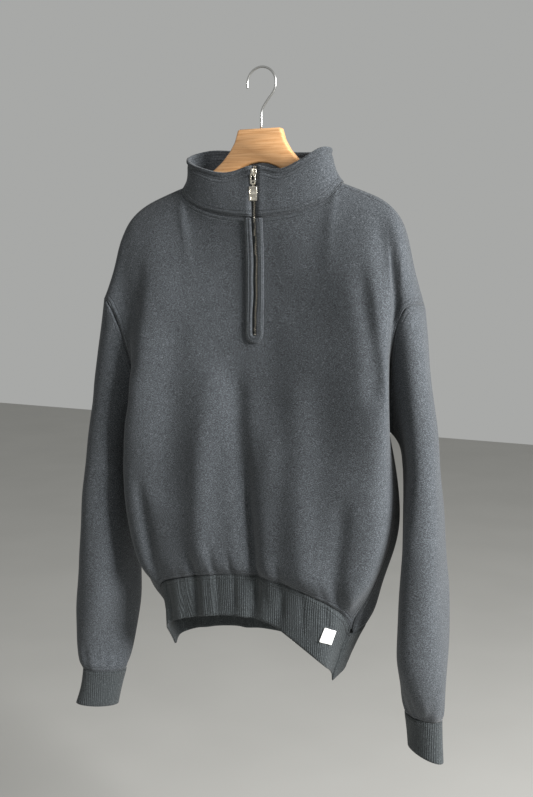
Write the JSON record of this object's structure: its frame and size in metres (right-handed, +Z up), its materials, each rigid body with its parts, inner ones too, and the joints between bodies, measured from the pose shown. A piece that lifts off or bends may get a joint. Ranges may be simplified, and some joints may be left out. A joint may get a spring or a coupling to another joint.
{
  "type": "half zip sweatshirt on a hanger",
  "caption": "Half zip fleece sweatshirt with a stand collar, dropped shoulders, ribbed cuffs and waistband, hanging on a flat wooden hanger by its wire hook.",
  "frame": {"origin": "inside top of the hanger's hook, where it rests on a rail", "axes": "+Z up, the garment's front faces -Y, +X is the viewer's right when looking at the front"},
  "size_m": [0.5934, 0.1444, 0.952],
  "materials": {
    "fleece": "charcoal heather brushed-back fleece, smooth face",
    "rib": "charcoal heather rib knit",
    "tape": "woven zip tape",
    "nickel": "bright warm nickel plate",
    "label": "bare white damask weave",
    "beech": "clear satin lacquer",
    "steel": "bright drawn wire"
  },
  "bodies": {
    "garment_on_hanger": {"front_panel": "fleece", "back_panel": "fleece", "sleeve_left": "fleece", "sleeve_right": "fleece", "collar": "fleece", "placket": "fleece", "hem_rib": "rib", "cuff_left": "rib", "cuff_right": "rib", "zip_tape_left": "tape", "zip_tape_right": "tape", "zip_teeth_left": "nickel", "zip_teeth_right": "nickel", "zip_stop_left": "nickel", "zip_stop_right": "nickel", "zip_bottom_stop": "nickel", "zip_slider": "nickel", "hem_label": "label", "hanger_wood": "beech", "hanger_hook": "steel"},
    "pull_link": {"zip_pull_link": "nickel"},
    "pull_tab": {"zip_pull_tab": "nickel"}
  },
  "joints": [
    {"name": "link_in_slider", "type": "hinge", "parent": "garment_on_hanger", "child": "pull_link", "pos_m": [0.004, -0.02981, -0.142], "axis": [-1, 0, 0], "range_deg": [0, 140]},
    {"name": "tab_on_link", "type": "hinge", "parent": "pull_link", "child": "pull_tab", "pos_m": [0.004, -0.02981, -0.1556], "axis": [-1, 0, 0], "range_deg": [0, 60]}
  ]
}
